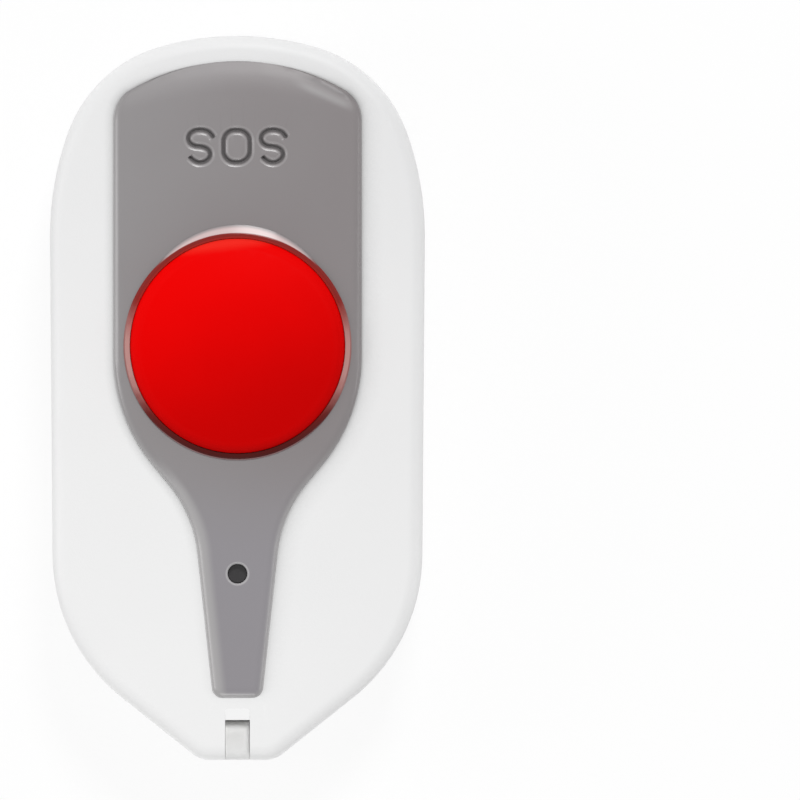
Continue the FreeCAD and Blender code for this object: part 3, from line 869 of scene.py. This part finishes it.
def makeInsert():
    look = insertForm
    insert = closedCopy("insertWithLetters", "face_insert")
    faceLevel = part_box("face_insert")[1].z
    hole = middleOf("button_collar")
    guide = middleOf("light_guide")

    def onWall(place):
        return place.z > faceLevel - look["wallDepth"] * mm

    def onOutside(place):
        # the indicator hole keeps its size
        clearOfGuide = flatDistance(place, guide) >= look["guideRadius"] * mm
        return clearOfGuide and flatDistance(place, hole) > look["holeRadius"] * mm and onWall(place)

    def inHole(place):
        return flatDistance(place, hole) < look["holeRadius"] * mm and onWall(place)

    spreadWall(insert.data, look["spreadOutside"], onOutside)
    spreadWall(insert.data, look["spreadHole"], inHole)
    for letter, places in look["places"].items():
        for x in places:
            cutter = letterCutter(letter, x, faceLevel)
            cut = insert.modifiers.new("letter", "BOOLEAN")
            cut.operation = "DIFFERENCE"
            cut.solver = "MANIFOLD"
            cut.object = cutter
            insert.data = meshOf(insert)
            insert.modifiers.clear()
            bpy.data.objects.remove(cutter)
    standFor(insert, "face_insert", "grey_insert", look["sharpAngle"])
    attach(insert, "pendant")


makeInsert()
print("insert made with its letters")


# Front shell: the CAD solid with a shallower lip round the pocket; sizes in mm
frontLook = {
    "lipChamfer": 0.18,
    "lipDrop": 0.04,
    "lipTolerance": 0.005,
    "sharpAngle": 35,  # in degrees
}


def makeFrontShell():
    look = frontLook
    shell = closedCopy("frontShell", "front_housing")
    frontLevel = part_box("front_housing")[1].z
    lipFoot = frontLevel - look["lipChamfer"] * mm
    for vert in shell.data.vertices:
        if abs(vert.co.z - lipFoot) < look["lipTolerance"] * mm:
            vert.co.z = frontLevel - look["lipDrop"] * mm
    standFor(shell, "front_housing", "white_shell", look["sharpAngle"])
    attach(shell, "pendant")


makeFrontShell()
print("front shell made")


# Button cap: the CAD solid with its edge rounded off and its wall moved out to the collar; sizes in mm
capLook = {
    "edgeRadius": 9.2,
    "edgeTurn": (0.15, 1.0),  # in radians, between the two faces of an edge that is rounded
    "edgeRound": 0.28,
    "rounds": 4,
    "wallRadius": 9.9,
    "wallDepth": 2.2,
    "spread": 0.06,
    "sharpAngle": 40,  # in degrees
}


def makeCap():
    look = capLook
    cap = closedCopy("thumbButton", "button_cap")
    middle = middleOf("button_cap")
    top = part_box("button_cap")[1].z

    def onWall(place):
        outside = flatDistance(place, middle) > look["wallRadius"] * mm
        return outside and place.z > top - look["wallDepth"] * mm

    spreadWall(cap.data, look["spread"], onWall)
    shaped = bmesh.new()
    shaped.from_mesh(cap.data)
    least, most = look["edgeTurn"]
    rim = []
    for edge in shaped.edges:
        centre = (edge.verts[0].co + edge.verts[1].co) / 2
        outer = flatDistance(centre, middle) > look["edgeRadius"] * mm
        if outer and centre.z > middle.z and least < edge.calc_face_angle(0) < most:
            rim.append(edge)
    bmesh.ops.bevel(shaped, geom=rim, offset=look["edgeRound"] * mm, segments=look["rounds"],
                    profile=0.5, affect="EDGES", clamp_overlap=True)
    shaped.to_mesh(cap.data)
    shaped.free()
    standFor(cap, "button_cap", "red_button", look["sharpAngle"])
    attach(cap, "button")


makeCap()
print("button cap rounded")


# Soft parts under the button, which in the real pendant give way as it is pressed; here they keep their
# shape; sizes in mm
softLook = {
    "padHeight": 1.0,
    "domeKept": 0.37,  # share of its height that is left when pressed
    "sharpAngle": 35,  # in degrees
}


def makeMembrane():
    # the membrane's joined mesh, shaded, with its place baked into the mesh
    membrane = closedCopy("softMembrane", "button_membrane")
    standFor(membrane, "button_membrane", "silicone", softLook["sharpAngle"])
    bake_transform(membrane)


def makeDome():
    # the snap dome's joined mesh, shaded, riding with the pendant on a mesh of its own
    dome = closedCopy("snapDome", "switch_dome")
    standFor(dome, "switch_dome", "steel", softLook["sharpAngle"])
    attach(dome, "pendant")
    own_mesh(dome)


makeMembrane()
makeDome()
print("membrane and snap dome made")


# Floor: pale sheet that shows white to the camera and keeps a soft shadow; sizes in mm
floorLook = {
    "halfSize": 1200.0,
    "segments": 8,
    "below": 0.02,
    "tone": (0.93, 0.93, 0.93),
    "card": 0.4,
    "cardDepth": 0.004,
    "whiteShare": 0.9,
}


def raysToBackdrop(recipe):
    # 1 for the rays that see the background: camera, glossy and transmission
    path = recipe.add("ShaderNodeLightPath").socket.node
    kinds = ("Is Camera Ray", "Is Glossy Ray", "Is Transmission Ray")
    camera, glossy, through = [Signal(recipe, path.outputs[kind]) for kind in kinds]
    return recipe.add("ShaderNodeMath", {"operation": "MINIMUM"}, {0: camera + glossy + through, 1: 1.0})


def makeFloor():
    look = floorLook
    sheet = bmesh.new()
    segments = look["segments"]
    bmesh.ops.create_grid(sheet, x_segments=segments, y_segments=segments, size=look["halfSize"] * mm)
    mesh = bpy.data.meshes.new("floor")
    sheet.to_mesh(mesh)
    sheet.free()
    floor = bpy.data.objects.new("floor", mesh)
    floor.location.z = -look["below"] * mm
    scene.collection.objects.link(floor)
    recipe = newRecipe("paleFloor")
    paper = recipe.add("ShaderNodeBsdfDiffuse", {}, {
        "Color": shade(look["tone"]),
        "Normal": recipe.bump(recipe.noise(look["card"], detail=3.0), look["cardDepth"]),
    })
    glow = recipe.add("ShaderNodeEmission", {}, {"Color": (1, 1, 1, 1), "Strength": 1.0})
    share = raysToBackdrop(recipe) * look["whiteShare"]
    recipe.show(recipe.add("ShaderNodeMixShader", {}, {0: share, 1: paper, 2: glow}))
    floor.data.materials.append(recipe.owner)


makeFloor()
print("floor laid")


# Lamps: share is how bright each makes a white sheet facing it, azimuth 0 is to the right; in metres
lampLook = {
    "key": {"share": 0.54, "azimuth": 79, "elevation": 49, "distance": 0.9, "size": 0.24},
    "left": {"share": 0.23, "azimuth": 182, "elevation": 24, "distance": 0.8, "size": 0.3},
    "right": {"share": 0.07, "azimuth": -5, "elevation": 20, "distance": 0.8, "size": 0.25},
    "front": {"share": 0.24, "azimuth": -90, "elevation": 20, "distance": 0.8, "size": 0.35},
}
skyStrength = 0.4


def makeLamps():
    for name, look in lampLook.items():
        data = bpy.data.lights.new(name, "AREA")
        data.shape = "DISK"
        data.size = look["size"]
        data.energy = look["share"] * math.pi ** 2 * look["distance"] ** 2
        lamp = bpy.data.objects.new(name, data)
        azimuth = math.radians(look["azimuth"])
        elevation = math.radians(look["elevation"])
        flat = math.cos(elevation)
        away = Vector((math.cos(azimuth) * flat, math.sin(azimuth) * flat, math.sin(elevation)))
        lamp.location = away * look["distance"]
        lamp.rotation_euler = away.to_track_quat("Z", "Y").to_euler()
        scene.collection.objects.link(lamp)


def makeSky():
    world = bpy.data.worlds.new("studio")
    scene.world = world
    recipe = Recipe(world)
    strength = skyStrength + raysToBackdrop(recipe) * (1 - skyStrength)
    sky = recipe.add("ShaderNodeBackground", {}, {"Color": (1, 1, 1, 1), "Strength": strength})
    recipe.show(sky, "ShaderNodeOutputWorld")


makeLamps()
makeSky()
print("lamps and sky set")


# Camera: straight above the pendant, turned a little so that it stands left in the frame; sizes in mm
cameraLook = {
    "lens": 1000.0,
    "frameWidth": 75.12,
    "aimX": 15.26,
    "aimY": -0.2,
    "aimZ": 10.1,
    "nearest": 10.0,
    "farthest": 20000.0,
}


def makeCamera():
    look = cameraLook
    data = bpy.data.cameras.new("camera")
    data.lens = look["lens"]
    data.clip_start = look["nearest"] * mm
    data.clip_end = look["farthest"] * mm
    camera = bpy.data.objects.new("camera", data)
    reach = look["frameWidth"] / data.sensor_width * look["lens"] * mm
    turn = math.asin(look["aimX"] * mm / reach)
    camera.location = (0, look["aimY"] * mm, look["aimZ"] * mm + reach * math.cos(turn))
    camera.rotation_euler = (0, -turn, 0)
    scene.collection.objects.link(camera)
    scene.camera = camera


makeCamera()
scene.view_settings.view_transform = "Standard"
print("camera set")
